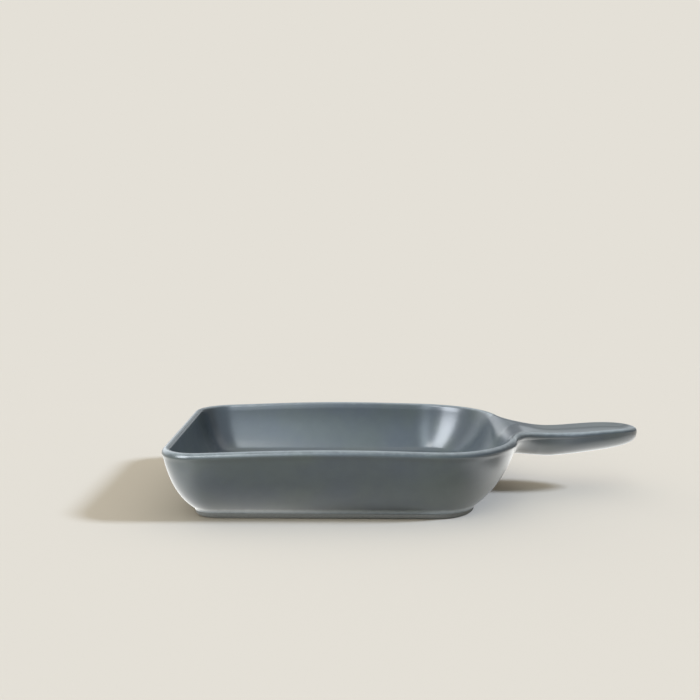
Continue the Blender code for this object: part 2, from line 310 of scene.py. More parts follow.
def to_the_right(step):
    """Unit normals in the plan that point to the right of these steps (x, y): along (y, -x)."""
    return unit(np.stack([step[:, 1], -step[:, 0]], axis=1))


def ease(value):
    """A smooth step from 0 to 1: 3 v^2 - 2 v^3 on the clipped value."""
    value = np.clip(value, 0.0, 1.0)
    return value * value * (3.0 - 2.0 * value)


tip_index = int(np.argmax(whole[:, 0]))
far_line = whole[tip_index:][::-1]
off_start = np.abs(far_line[:, 1] - flare_foot[1] - FLARE_LEAD)
start = int(np.argmin(off_start + 10.0 * (far_line[:, 0] < 0.0)))
side_line = far_line[start:]
edge_line = spaced(side_line, ROWS, True)
edge_line[-1, 1] = 0.0
edge_normal = -to_the_right(np.gradient(edge_line, axis=0))
edge_normal[-1] = (1.0, 0.0)
edge_radius = BEAD + (HANDLE_EDGE - BEAD) * ease((edge_line[:, 0] - NOSE) / (WAIST - NOSE))
edge_tuck = TUCK * (1.0 - 0.8 * ease((edge_line[:, 0] - WAIST) / (TIP - WAIST)))
crest_line = edge_line - edge_normal * edge_radius[:, None]
print("handle side from", np.round(edge_line[0] * 1000, 1),
      "to", np.round(edge_line[-1] * 1000, 1), "mm")

# %% [markdown]
# ## The top of the handle
# The height of the top is one function of the place in the plan. Along the crest it dips to the waist,
# lifts again and turns over at the tip. Between the two crests it sinks into a shallow trough with
# level edges, so that the rolled edge runs into it without a crease. The same function also gives the
# height of the rim where the dish opens towards the handle, so the two meet.

# %% Heights over the handle
FLARE_START = float(crest_line[0, 0])


def crest_height(x):
    """Height of the raised edges: the rim's line, less a dip to the waist, plus a lift to the tip.

    The lift is half a cosine wave, and it turns over at the tip by a squared share of the turn.
    """
    rim = rim_crest(np.minimum(x, NOSE))
    dip = WAIST_DIP * ease((x - FLARE_START) / (WAIST - FLARE_START))
    lift = np.clip((x - WAIST) / (TIP - WAIST - TIP_TURN), 0.0, 1.0)
    turn = np.clip((x - TIP + TIP_TURN) / TIP_TURN, 0.0, 1.0)
    return rim - dip + TIP_LIFT * (1.0 - np.cos(math.pi * lift)) / 2.0 - TIP_DROP * turn ** 2


def half_crest(x):
    """Half the distance between the two crests."""
    return np.interp(x, crest_line[:, 0], crest_line[:, 1])


def top_height(x, y):
    """Crest height less a trough: with q = 1 - (y / half width)^2, it follows 3 q^2 - 2 q^3."""
    half = np.maximum(half_crest(x), 1e-6)
    inside = np.where(x >= FLARE_START - 0.0002, 1.0 - (y / half) ** 2, 0.0)
    depth = HANDLE_DISH * (0.55 + 0.45 * ease((x - NOSE) / (WAIST - NOSE)))
    depth = depth * ease((TIP - HANDLE_EDGE - x) / 0.010)
    return crest_height(x) - depth * ease(inside)


def top_normal(x, y):
    """Upward unit normal of the top: (-dz/dx, -dz/dy, 1), from differences over 0.1 mm."""
    e = 0.0001
    dx = (top_height(x + e, y) - top_height(x - e, y)) / (2.0 * e)
    dy = (top_height(x, y + e) - top_height(x, y - e)) / (2.0 * e)
    return unit(np.stack([-dx, -dy, np.ones_like(dx)], axis=-1))


edge_height = crest_height(crest_line[:, 0])
three_heights = edge_height[[0, ROWS // 2, -1]]
print("crest heights in mm, flare, waist, tip:", np.round(three_heights * 1000, 2))

# %% [markdown]
# ## The mouth of the dish
# The inside face of the wall is carried up to the level of the rim. There a curve leaves it, bends
# over and arrives level at the crest. Round most of the dish that curve is the tight inner half of
# the rolled rim. Towards the handle it grows, so the wall rolls out softly onto the handle's top. It
# starts up to 15 mm down the wall there, and reaches out by a share of the room that the flare leaves.

# %% The inside of the wall and the roll over the rim
INNER_ROWS = 58
ROLL_ROWS = 13
ROLL_SHARE = 0.7  # of the room between the wall and the flare's crest
FALL_START = 0.050  # from here towards the middle line the roll starts lower down the wall
FALL_REACH = 0.036
NUDGE = 0.0002  # a small step, to measure how the top slopes
rise = BEAD * (1.0 + math.sin(TUCK)) - WALL * math.sin(TOP_LEAN)
lip_inset = BEAD * (1.0 - math.cos(TUCK)) + WALL * math.cos(TOP_LEAN) - rise * math.tan(TOP_LEAN)
lip_ring = plan_ring(0.0, lip_inset)
lip_normal = to_the_right(np.roll(lip_ring, -1, axis=0) - np.roll(lip_ring, 1, axis=0))
at_nose = lip_ring[:, 0] > 0.0
sideways = np.abs(lip_ring[:, 1])
flare = crest_line[crest_line[:, 0] < WAIST][::-1]
room = np.interp(sideways, flare[:, 1], flare[:, 0]) - lip_ring[:, 0]
room = room / np.maximum(lip_normal[:, 0], 0.5)
plain_roll = lip_inset - BEAD
room = np.where(at_nose & (sideways < crest_line[0, 1]), np.maximum(room - plain_roll, 0.0), 0.0)
most = ROOT_ROLL - plain_roll
roll = plain_roll + most * (1.0 - np.exp(-ROLL_SHARE * room / most))
toward_handle = np.where(at_nose, ease((FALL_START - sideways) / FALL_REACH), 0.0)
fall = plain_roll + (ROOT_FALL - plain_roll) * toward_handle
crest_plan = lip_ring + lip_normal * roll[:, None]
crest_z = top_height(crest_plan[:, 0], crest_plan[:, 1])
beyond = crest_plan + lip_normal * NUDGE
slope = (top_height(beyond[:, 0], beyond[:, 1]) - crest_z) / NUDGE * (toward_handle > 0.0)
dish_crest = np.column_stack([crest_plan, crest_z])
sunk = (rim_crest(lip_ring[:, 0]) - crest_z) * math.tan(TOP_LEAN)
lip = np.column_stack([lip_ring - lip_normal * sunk[:, None], crest_z - slope * roll])
inside = at_nose & (np.abs(crest_plan[:, 1]) < crest_line[0, 1])
edge_x = np.interp(np.abs(crest_plan[inside, 1]), crest_line[::-1, 1], crest_line[::-1, 0])
past_edge = (crest_plan[inside, 0] - edge_x).max()
print("the dish's crest passes the handle's by", round(past_edge * 1000, 2), "mm at most")
print("the roll grows from", round(roll.min() * 1000, 1), "to", round(roll.max() * 1000, 1), "mm")

# %% Rows down the inside
probes = (1.0, 0.9, 0.8, 0.7, 0.6, 0.5)
probe_heights = [wall_ring(probe, WALL)[:, 2].mean() for probe in probes]
floor_share = float(np.interp(FLOOR_HEIGHT + FLOOR_TURN, probe_heights, probes))
inner_shares = np.linspace(0.0, floor_share, INNER_ROWS)
inner_wall = np.array([wall_ring(share, WALL) for share in inner_shares])
lead = np.linspace(0.0, 1.0, 5)[:-1, None, None]
inner_table = np.concatenate([lip + (inner_wall[0] - lip) * lead, inner_wall])
table_run = np.linalg.norm(np.diff(inner_table, axis=0), axis=2)
table_run = np.concatenate([np.zeros((1, AROUND)), np.cumsum(table_run, axis=0)])


def along_columns(table, rows):
    """A table of points read at fractional rows, by straight lines between the whole ones."""
    low = np.clip(np.floor(rows).astype(int), 0, len(table) - 2)
    column = np.arange(table.shape[1])
    part = (rows - low)[..., None]
    return table[low, column] * (1.0 - part) + table[low + 1, column] * part


def bow(start, corner, end, share):
    """A curve from start to end that sets out towards the corner and arrives from it.

    With share t it is (1 - t)^2 start + 2 t (1 - t) corner + t^2 end.
    """
    return (1 - share) ** 2 * start + 2 * share * (1 - share) * corner + share ** 2 * end


first = np.interp(fall, table_run.mean(axis=1), np.arange(len(inner_table)))
roll_end = along_columns(inner_table, first[None, :])[0]
bend = np.linspace(0.0, 1.0, ROLL_ROWS)[:, None, None]
roll_rows = bow(dish_crest, lip, roll_end, bend)
share = np.linspace(0.0, 1.0, INNER_ROWS - 8)[1:, None]
inner_rows = along_columns(inner_table, first + (len(inner_table) - 1 - first) * share)
print("inside wall ends at", np.round(inner_rows[-1, :, 2].mean() * 1000, 1), "mm over the table")

# %% [markdown]
# ## The floor
# The wall turns into the floor along another soft curve. It leaves the wall in the wall's own
# direction and arrives level on the floor. The floor then closes in to its middle, where the rows end
# in one point. The curve is tighter than the plain model's, because no turn shows over the near rim.

# %% Rows of the turn and the floor
TURN_ROWS = 14
FLOOR_ROWS = 9
last_lean = float(np.interp(floor_share, wall_share, wall_lean))
last_in = float(np.interp(floor_share, wall_share, wall_in))
last_tuck = BEAD * (1.0 - math.cos(TUCK)) * (1.0 - last_in)
start_inset = last_tuck + WALL * math.cos(last_lean)
corner_inset = start_inset + (inner_rows[-1, :, 2].mean() - FLOOR_HEIGHT) * math.tan(last_lean)
turn_rows = []
for step in np.linspace(0.0, 1.0, TURN_ROWS + 1)[1:]:
    inset = bow(start_inset, corner_inset, corner_inset + FLOOR_FILLET, step)
    height = FLOOR_HEIGHT + (inner_rows[-1, :, 2] - FLOOR_HEIGHT) * (1 - step) ** 2
    turn_rows.append(np.column_stack([plan_ring(last_in, inset), height]))
turn_rows = np.array(turn_rows)


def close_in(ring, rows):
    """Rows that shrink a level ring evenly to its middle."""
    middle = ring.mean(axis=0)
    size = np.linspace(1.0, 0.0, rows + 1)[1:, None, None]
    return middle + (ring - middle) * size


floor_rows = close_in(turn_rows[-1], FLOOR_ROWS)
print("floor", np.round(np.ptp(turn_rows[-1], axis=0)[:2] * 1000, 1), "mm,",
      FLOOR_HEIGHT * 1000, "mm over the table")

# %% [markdown]
# ## The outside
# From the crest the rolled rim bends over and tucks under, and the wall runs down to a small round
# shoulder above the foot. Glaze fills creases, so the rows near a crease are melted into each other:
# each moves to the middle of its neighbours a few times over.
#
# Behind the handle nobody sees the rim, so it is drawn tighter there and stays inside the handle.

# %% Rows down the outside
BEAD_ROWS = 17
OUTER_ROWS = 56
HIDE_REACH = 0.008  # behind the handle the bead is drawn tighter over this distance
HIDE_SHARE = 0.6
hidden = np.where(at_nose, ease((crest_line[0, 1] - sideways) / HIDE_REACH), 0.0)
bead_radius = BEAD * (1.0 - HIDE_SHARE * hidden)
angle = np.linspace(math.pi / 2.0, -TUCK, BEAD_ROWS)[1:, None]
swing = lip_normal[None] * (bead_radius * np.cos(angle))[..., None]
drop = bead_radius * (np.sin(angle) - 1.0)
bead_rows = np.concatenate([crest_plan + swing, (crest_z + drop)[..., None]], axis=2)
outer_rows = np.array([wall_ring(share, 0.0) for share in np.linspace(0.0, 1.0, OUTER_ROWS)[1:]])


def shoulder_ring(a):
    """A ring of the small round shoulder, a quarter circle from the wall to level."""
    plan = plan_ring(1.0, FOOT_SETBACK * (1.0 - math.cos(a)))
    return np.column_stack([plan, np.full(AROUND, FOOT_HEIGHT + SHOULDER * (1.0 - math.sin(a)))])


turns = np.radians([-20.0, 0.0, 20.0, 40.0, 60.0, 75.0, 90.0])
shoulder_rows = np.array([shoulder_ring(turn) for turn in turns])
under_rows = close_in(shoulder_rows[-1], 6)


def melt(rows, first, last, passes):
    """Rows first to last smoothed: each becomes half itself and a quarter of each neighbour."""
    rows = rows.copy()
    for _ in range(passes):
        beside = rows[first - 1:last - 1] + rows[first + 1:last + 1]
        rows[first:last] = (beside + 2.0 * rows[first:last]) / 4.0
    return rows


outside = np.concatenate([bead_rows, outer_rows, shoulder_rows])
outside = melt(outside, BEAD_ROWS - 5, BEAD_ROWS + 5, 4)
outside = melt(outside, BEAD_ROWS + OUTER_ROWS - 8, BEAD_ROWS + OUTER_ROWS + 3, 10)
dish_grid = np.concatenate([floor_rows[::-1], turn_rows[::-1], inner_rows[::-1], roll_rows[::-1],
                            outside, under_rows])
crest_row = FLOOR_ROWS + TURN_ROWS + len(inner_rows) + ROLL_ROWS - 1
print("dish grid:", dish_grid.shape[0], "rows by", dish_grid.shape[1], "columns")

# %% [markdown]
# ## From a grid to a mesh
# All pieces are grids of points, so one helper turns any grid into a mesh. It welds points that fall
# together, which closes the seam of a ring and the poles, and it drops the faces that this squeezes
# flat. If the enclosed volume comes out negative, the faces point inwards and are turned round.
#
# Each point also carries a number that lightens the glaze there. On the edges it says how thinly the
# glaze lies, because a glaze runs off an edge while it is molten, and shows lighter where it lies
# thinly. Over the foot the same number also paints light from the pale table.

# %% Helpers for meshes


def weld(grid):
    """Points that differ, and the faces of a grid that closes on itself in both directions.

    Two points are the same when they agree to a ten-thousandth of a millimetre.
    """
    flat = grid.reshape(-1, 3)
    rough = np.round(flat, 7) + 0.0
    _, first, index = np.unique(rough, axis=0, return_index=True, return_inverse=True)
    index = index.reshape(grid.shape[:2])
    here = index[:-1]
    there = index[1:]
    quads = [here, np.roll(here, -1, axis=1), np.roll(there, -1, axis=1), there]
    quads = np.stack(quads, axis=2).reshape(-1, 4)
    same = quads == np.roll(quads, -1, axis=1)
    triangles = quads[same.sum(axis=1) == 1]
    triangles = triangles[~same[same.sum(axis=1) == 1]].reshape(-1, 3)
    return flat[first], first, index, quads[same.sum(axis=1) == 0], triangles


def enclosed(points, quads, triangles):
    """Signed volume: a sixth of the sum of a . (b x c) over all the triangles."""
    corners = np.vstack([triangles, quads[:, :3], quads[:, [0, 2, 3]]])
    a, b, c = (points[corners[:, k]] for k in range(3))
    return float(np.einsum("ij,ij->i", a, np.cross(b, c)).sum() / 6.0)


def make_piece(name, grid, thin_and_painted_light, replaced):
    """A mesh object from a closed grid, riding on the dish's one body, with its thin attribute."""
    points, first, index, quads, triangles = weld(grid)
    volume = enclosed(points, quads, triangles)
    if volume < 0.0:
        quads = quads[:, ::-1]
        triangles = triangles[:, ::-1]
    corners = np.concatenate([quads.ravel(), triangles.ravel()])
    sizes = np.concatenate([np.full(len(quads), 4), np.full(len(triangles), 3)])
    mesh = bpy.data.meshes.new(name)
    mesh.vertices.add(len(points))
    mesh.vertices.foreach_set("co", points.ravel())
    mesh.loops.add(len(corners))
    mesh.loops.foreach_set("vertex_index", corners)
    mesh.polygons.add(len(sizes))
    mesh.polygons.foreach_set("loop_start", np.concatenate([[0], np.cumsum(sizes)[:-1]]))
    mesh.update(calc_edges=True)
    mesh.validate()
    mesh.shade_smooth()
    glaze_thickness = mesh.attributes.new("thin_and_painted_light", "FLOAT", "POINT")
    glaze_thickness.data.foreach_set("value", thin_and_painted_light.ravel()[first].astype(np.float32))
    piece = bpy.data.objects.new(name, mesh)
    bpy.context.scene.collection.objects.link(piece)
    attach(piece, "root")
    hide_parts(*replaced)
    print(name, "-", len(sizes), "faces,", round(abs(volume) * 1e6, 1), "cubic centimetres")
    return piece, index


def smooth_normals(piece, index):
    """The mesh's own smooth normals, laid out as the grid that it was made from."""
    mesh = piece.data
    smooth = np.zeros(len(mesh.vertices) * 3, np.float32)
    mesh.vertex_normals.foreach_get("vector", smooth)
    return smooth.reshape(-1, 3)[index]


def set_normals(piece, index, normals):
    """Gives the mesh these normals, one for each grid point.

    Two pieces that are given the same normals where they meet shade alike there.
    """
    smooth = np.zeros((len(piece.data.vertices), 3))
    smooth[index.ravel()] = normals.reshape(-1, 3)
    piece.data.normals_split_custom_set_from_vertices(smooth.tolist())


def hump(distance, width):
    """exp(-(distance / width)^2): 1 on an edge, and nothing a few widths away from it."""
    return np.exp(-(distance / width) ** 2)


# %% The glazed dish
FOOT_BAND_THIN_AND_PAINTED_LIGHT = 0.0046  # height of a lighter band over the foot: partly glaze lying thinly over the shoulder, partly painted light from the table below
row_number = np.arange(len(dish_grid))[:, None]
foot_row = crest_row + BEAD_ROWS - 1 + OUTER_ROWS
thin_and_painted_light = hump(row_number - crest_row + 1, 9.0) * (1.0 - hidden)[None, :]
# Over the foot a band is made lighter: partly glaze lying thinly over the shoulder, partly painted
# light from the pale table below.
thin_and_painted_light = thin_and_painted_light + hump(dish_grid[:, :, 2] - FOOT_BAND_THIN_AND_PAINTED_LIGHT, 0.0019) * (row_number > foot_row - 12)
dish, dish_index = make_piece("glazed_dish", dish_grid, thin_and_painted_light, ["dish_body"])
dish_normals = smooth_normals(dish, dish_index)
dish_normals[crest_row] = top_normal(crest_plan[:, 0], crest_plan[:, 1])
set_normals(dish, dish_index, dish_normals)

# %% [markdown]
# ## The handle
# The handle is a tube of rows. Each row goes over the dished top, round the far edge, under the belly
# and back round the near edge. Its first row lies on the dish: on the crest of the rim above, and on
# the wall below. To find where a line of the belly meets the wall, the interval that holds the
# meeting point is halved again and again.

# %% Where the handle's lines meet the dish
nose_heights = outer_rows[:, np.argmax(rim_plan[:, 0]), 2]
nose_ys = np.linspace(-0.055, 0.055, 221)


def nose_profile(ring):
    """X of a ring at even places across the nose."""
    front = ring[ring[:, 0] > 0.0]
    order = np.argsort(front[:, 1])
    return np.interp(nose_ys, front[order, 1], front[order, 0])


wall_table = np.array([nose_profile(ring) for ring in outer_rows])
crest_profile = nose_profile(dish_crest)


def wall_x(y, z):
    """X of the outside wall at the nose, read from its rows by height and by the place across."""
    row = np.interp(-z, -nose_heights, np.arange(len(nose_heights)))
    low = np.clip(np.floor(row).astype(int), 0, len(nose_heights) - 2)
    column = (np.clip(y, nose_ys[0], nose_ys[-1]) - nose_ys[0]) / (nose_ys[1] - nose_ys[0])
    left = np.clip(np.floor(column).astype(int), 0, len(nose_ys) - 2)
    u = row - low
    v = column - left
    upper = wall_table[low, left] * (1 - v) + wall_table[low, left + 1] * v
    lower = wall_table[low + 1, left] * (1 - v) + wall_table[low + 1, left + 1] * v
    return upper * (1 - u) + lower * u


def meet(gap, low, high):
    """Places where gap(x) turns positive, for a whole array at once, by halving 40 times."""
    for _ in range(40):
        middle = (low + high) / 2.0
        outside = gap(middle) > 0.0
        high = np.where(outside, middle, high)
        low = np.where(outside, low, middle)
    return (low + high) / 2.0


print("wall at the nose, 20 mm up: x =", round(float(wall_x(0.0, 0.020)) * 1000, 1), "mm")

# %% The belly
under_plan = edge_line - edge_normal * (edge_radius * (1.0 - np.cos(edge_tuck)))[:, None]
under_height = edge_height - edge_radius * (1.0 + np.sin(edge_tuck))


def belly_height(x, angle):
    """Height under the handle: down from the tuck by depth times sin(angle)^p.

    The power p is over 1 in the flare. Towards the tip the depth follows |x|^q + |z|^q = 1.
    """
    half = np.interp(x, under_plan[:, 0], under_plan[:, 1])
    edge = np.interp(x, under_plan[:, 0], under_height)
    end = np.clip((x - GRIP) / (TIP - GRIP), 0.0, 1.0)
    past_waist = np.clip((x - WAIST) / (TIP - WAIST), 0.0, 1.0)
    depth = HANDLE_DEPTH + (TIP_DEPTH - HANDLE_DEPTH) * past_waist
    depth = np.maximum(depth * (1.0 - end ** DEPTH_POWER) ** (1.0 / DEPTH_POWER), 2.0 * HANDLE_EDGE)
    depth = depth - (crest_height(x) - edge)
    return edge - depth * np.sin(angle) ** np.maximum(half / GRIP_HALF, 1.0)


def belly_y(x, angle):
    """Place across the belly: half the width at the tuck times cos(angle)."""
    return np.interp(x, under_plan[:, 0], under_plan[:, 1]) * np.cos(angle)


BELLY_COLUMNS = 61
belly_angle = np.linspace(0.0, math.pi, BELLY_COLUMNS)
under_start = float(under_plan[0, 0])
root_x = meet(lambda x: x - wall_x(belly_y(x, belly_angle), belly_height(x, belly_angle)),
              np.full(BELLY_COLUMNS, under_start - 0.004), np.full(BELLY_COLUMNS, WAIST))
root_x = np.where((belly_angle < 0.02) | (belly_angle > math.pi - 0.02), under_start, root_x)
print("belly meets the wall at x from", round(root_x.min() * 1000, 1),
      "to", round(root_x.max() * 1000, 1), "mm")

# %% The rows of the handle
TOP_COLUMNS = 49
across = np.sin(np.linspace(-math.pi / 2.0, math.pi / 2.0, TOP_COLUMNS))
top_x = meet(lambda x: x - np.interp(across * half_crest(x), nose_ys, crest_profile),
             np.full(TOP_COLUMNS, crest_line[0, 0]), np.full(TOP_COLUMNS, WAIST))
top_x[[0, -1]] = crest_line[0, 0]


def spread(line, starts):
    """Each column's x runs from its own start to the line's end, in step with the line."""
    share = (line - line[0]) / (line[-1] - line[0])
    return starts[None, :] + (line[-1] - starts[None, :]) * share[:, None]


x = spread(crest_line[:, 0], top_x)
y = across * half_crest(x)
top_columns = np.stack([x, y, top_height(x, y)], axis=2)
angle = np.linspace(math.pi / 2.0, 0.0, 13)[1:-1]
lower = np.linspace(0.0, 1.0, 7)
swing = np.concatenate([np.tile(angle, (ROWS, 1)), -edge_tuck[:, None] * lower], axis=1)
out = edge_radius[:, None] * np.cos(swing)
far_plan = crest_line[:, None] + edge_normal[:, None] * out[..., None]
far_z = edge_height[:, None] + edge_radius[:, None] * (np.sin(swing) - 1.0)
far_columns = np.concatenate([far_plan, far_z[..., None]], axis=2)
x = spread(under_plan[:, 0], root_x[1:-1])
y = belly_y(x, belly_angle[1:-1])
belly_columns = np.stack([x, y, belly_height(x, belly_angle[1:-1])], axis=2)
near_columns = (far_columns * [1.0, -1.0, 1.0])[:, ::-1]
handle_grid = np.concatenate([top_columns, far_columns, belly_columns, near_columns], axis=1)
print("handle grid:", handle_grid.shape[0], "rows by", handle_grid.shape[1], "columns")

# %% The glazed handle
root_cap = handle_grid[:1] * [0.0, 0.6, 1.0] + [FLARE_START + 0.004, 0.0, 0.0]
root_cap[..., 2] = np.clip(root_cap[..., 2], 0.030, 0.034)
middle = root_cap.mean(axis=1, keepdims=True) * np.ones((1, handle_grid.shape[1], 1))
closed_handle = np.concatenate([middle, root_cap, handle_grid])
columns = np.arange(closed_handle.shape[1])[None, :]
far_edge = TOP_COLUMNS + 2
near_edge = closed_handle.shape[1] - 3
edge_thin = hump(columns - far_edge, 7.0) + hump(columns - near_edge, 7.0)
edge_thin = edge_thin * np.ones((len(closed_handle), 1))
handle, handle_index = make_piece("glazed_handle", closed_handle, edge_thin,
                                  ["handle"])
handle_normals = smooth_normals(handle, handle_index)
handle_normals[2] = handle_normals[3]
first_row = handle_grid[0, :TOP_COLUMNS]
handle_normals[2, :TOP_COLUMNS] = top_normal(first_row[:, 0], first_row[:, 1])
set_normals(handle, handle_index, handle_normals)

# %% [markdown]
# ## The slip at the root
# A handle that is joined on sits in a little wet slip, and the potter wipes the seam round with a
# finger. Glaze runs into the hollow too. The seam is a narrow band in the corner between the belly
# and the wall. Across, it is a curve that starts in the direction of one face and ends in the
# direction of the other; along, it fades to nothing where the corner fades.

# %% The band of slip
SEAM = 0.0030
CREASE = math.radians(50.0)
reach = SEAM * np.sin(belly_angle) ** 0.7
reach[[0, -1]] = 0.0


def on_belly(x):
    """The belly's points at these places along the handle."""
    return np.stack([x, belly_y(x, belly_angle), belly_height(x, belly_angle)], axis=1)


corner = on_belly(root_x)
on_handle = on_belly(root_x + reach)
on_wall = corner - reach[:, None] * [0.0, 0.0, 1.0]
on_wall[:, 0] = np.where(reach > 0.0, wall_x(on_wall[:, 1], on_wall[:, 2]), corner[:, 0])
bend = np.linspace(0.0, 1.0, 10)[None, :, None]
band = bow(on_handle[:, None], corner[:, None], on_wall[:, None], bend)
behind = corner + reach[:, None] * [-0.2, 0.0, 0.2]
seam_grid = np.concatenate([band, behind[:, None]], axis=1)
seam_thin = 0.4 * np.ones(seam_grid.shape[:2])
seam, _ = make_piece("glazed_seam", seam_grid, seam_thin, ["handle_slip"])
seam.data.set_sharp_from_angle(angle=CREASE)

# %% [markdown]
# ## The foot ring
# The dish stands on a narrow ring. The glaze is wiped off before firing, so that the dish doesn't
# stick to the kiln shelf. Its outer face turns under in a wide curve, its inner edge is rounded only
# a little, and it stands on the flat strip between them.

# %% The foot ring
FOOT_WIDTH = 0.0056
FOOT_TURN = 0.0018
FOOT_GROWTH = 0.0030
FOOT_EDGE = 0.0006


def foot_ring(inset, turned, height):
    """A ring of the foot: the plan moved in by an inset.

    Its corners' radii grow in step with how far the outer face has turned under.
    """
    corners, radii = level_corners(1.0, inset)
    plan = even(rounded(corners, radii + FOOT_GROWTH * turned), AROUND)
    return np.column_stack([soften(plan, SOFTENING), np.full(AROUND, height)])


turn = np.radians(np.linspace(0.0, 90.0, 13))
outer_turned = 1.0 - np.cos(turn)
outer_height = FOOT_HEIGHT * (1.0 - np.sin(turn))
inner_edge = FOOT_SETBACK + FOOT_WIDTH
edge_turn = np.radians(np.linspace(90.0, 0.0, 7))
ring_rows = [foot_ring(FOOT_SETBACK + FOOT_TURN * turned, turned, height)
             for turned, height in zip(outer_turned, outer_height)]
ring_rows += [foot_ring(inner_edge - FOOT_EDGE * (1.0 - math.cos(angle)), 1.0,
                        FOOT_EDGE * (1.0 - math.sin(angle))) for angle in edge_turn]
ring_rows += [foot_ring(inner_edge, 1.0, FOOT_HEIGHT), foot_ring(FOOT_SETBACK, 0.0, FOOT_HEIGHT)]
ring_grid = np.array(ring_rows)
no_glaze = np.zeros(ring_grid.shape[:2])
ring, _ = make_piece("clay_foot_ring", ring_grid, no_glaze, ["foot_ring"])
ring.data.set_sharp_from_angle(angle=CREASE)

# %% [markdown]
# ## The glaze
# The glaze is a slate grey-blue stoneware glaze with a satin shine. Four things make it look fired
# rather than painted: slow drifts of colour between blue and green, a fine mottling, a lighter tone
# where it lies thinly, and a surface that is faintly wavy like the skin of an orange. The same lighter
# tone also makes a band over the foot, which is partly glaze lying thinly and partly painted light
# from the table.
#
# The dish, the handle and the seam share the glaze, so its colours and its waves are one node group.
# The group reads Object coordinates, in metres, so that a scale of 40 gives features about 25 mm
# across. The shader itself stays in each material.

# %% Helpers for node trees


def new_group(name, inputs, outputs):
    """A shader node group with named sockets; each entry is (name, kind, default)."""
    group = bpy.data.node_groups.new(name, "ShaderNodeTree")
    for label, kind, value in inputs:
        socket = group.interface.new_socket(label, in_out="INPUT", socket_type=kind)
        socket.default_value = value
    for label, kind in outputs:
        group.interface.new_socket(label, in_out="OUTPUT", socket_type=kind)
    return group, group.nodes.new("NodeGroupInput"), group.nodes.new("NodeGroupOutput")


def noise(tree, source, scale, detail, roughness=0.5):
    """A noise texture on these coordinates; returns its value socket, from 0 to 1."""
    node = tree.nodes.new("ShaderNodeTexNoise")
    node.inputs["Scale"].default_value = scale
    node.inputs["Detail"].default_value = detail
    node.inputs["Roughness"].default_value = roughness
    tree.links.new(source, node.inputs["Vector"])
    return node.outputs["Fac"]


def between(tree, value, low, high, to_low=0.0, to_high=1.0):
    """A Map Range node with a smooth step, from low..high to to_low..to_high."""
    node = tree.nodes.new("ShaderNodeMapRange")
    node.interpolation_type = "SMOOTHSTEP"
    tree.links.new(value, node.inputs["Value"])
    limits = (low, high, to_low, to_high)
    for label, number in zip(("From Min", "From Max", "To Min", "To Max"), limits):
        node.inputs[label].default_value = number
    return node.outputs["Result"]


def calculate(tree, operation, first, second):
    """A Math node on two sockets or numbers."""
    node = tree.nodes.new("ShaderNodeMath")
    node.operation = operation
    for k, value in enumerate((first, second)):
        if isinstance(value, (int, float)):
            node.inputs[k].default_value = value
        else:
            tree.links.new(value, node.inputs[k])
    return node.outputs["Value"]


def overlap(tree, first, *others):
    """The product of several masks, which is 1 only where all of them are."""
    for other in others:
        first = calculate(tree, "MULTIPLY", first, other)
    return first


def mixed(tree, factor, first, second):
    """A colour Mix node; first and second are sockets or colours."""
    node = tree.nodes.new("ShaderNodeMix")
    node.data_type = "RGBA"
    tree.links.new(factor, node.inputs["Factor"])
    for socket, value in ((node.inputs[6], first), (node.inputs[7], second)):
        if isinstance(value, tuple):
            socket.default_value = value
        else:
            tree.links.new(value, socket)
    return node.outputs[2]


# %% The glaze's colours and waves
glaze, glaze_in, glaze_out = new_group(
    "stoneware_glaze",
    [("Body", "NodeSocketColor", (0.10, 0.12, 0.13, 1.0)),
     ("Drift", "NodeSocketColor", (0.10, 0.12, 0.11, 1.0)),
     ("Thin_and_painted_light", "NodeSocketColor", (0.30, 0.33, 0.33, 1.0)),
     ("Roughness", "NodeSocketFloat", 0.25)],
    [("Color", "NodeSocketColor"), ("Roughness", "NodeSocketFloat"),
     ("Normal", "NodeSocketVector")])
place = glaze.nodes.new("ShaderNodeTexCoord").outputs["Object"]
drift = between(glaze, noise(glaze, place, 38.0, 3.0), 0.30, 0.70)
colour = mixed(glaze, drift, glaze_in.outputs["Body"], glaze_in.outputs["Drift"])
mottle = between(glaze, noise(glaze, place, 150.0, 4.0, 0.6), 0.25, 0.75, 0.94, 1.06)
specks = between(glaze, noise(glaze, place, 1300.0, 2.0), 0.62, 0.80, 0.0, 0.22)
colour = mixed(glaze, specks, colour, (0.03, 0.03, 0.03, 1.0))
edge = glaze.nodes.new("ShaderNodeAttribute")
edge.attribute_name = "thin_and_painted_light"
ragged = between(glaze, noise(glaze, place, 300.0, 3.0), 0.2, 0.8, -0.08, 0.08)
ragged = calculate(glaze, "ADD", edge.outputs["Fac"], ragged)
# Lighter where the glaze lies thinly on edges; over the foot this also paints light from the table.
colour = mixed(glaze, between(glaze, ragged, 0.30, 1.10), colour, glaze_in.outputs["Thin_and_painted_light"])
shade = glaze.nodes.new("ShaderNodeVectorMath")
shade.operation = "SCALE"
glaze.links.new(colour, shade.inputs[0])
glaze.links.new(mottle, shade.inputs["Scale"])
glaze.links.new(shade.outputs["Vector"], glaze_out.inputs["Color"])
gloss = between(glaze, noise(glaze, place, 60.0, 3.0), 0.3, 0.7, -0.02, 0.02)
gloss = calculate(glaze, "ADD", glaze_in.outputs["Roughness"], gloss)
glaze.links.new(gloss, glaze_out.inputs["Roughness"])
ripple = calculate(glaze, "MULTIPLY", noise(glaze, place, 520.0, 2.0), 0.10)
waves = calculate(glaze, "ADD", noise(glaze, place, 95.0, 1.0), ripple)
bump = glaze.nodes.new("ShaderNodeBump")
bump.inputs["Strength"].default_value = 1.0
bump.inputs["Distance"].default_value = 0.00006
glaze.links.new(waves, bump.inputs["Height"])
glaze.links.new(bump.outputs["Normal"], glaze_out.inputs["Normal"])
print("glaze group:", len(glaze.nodes), "nodes")

# %% Glaze on the dish, the handle and the seam


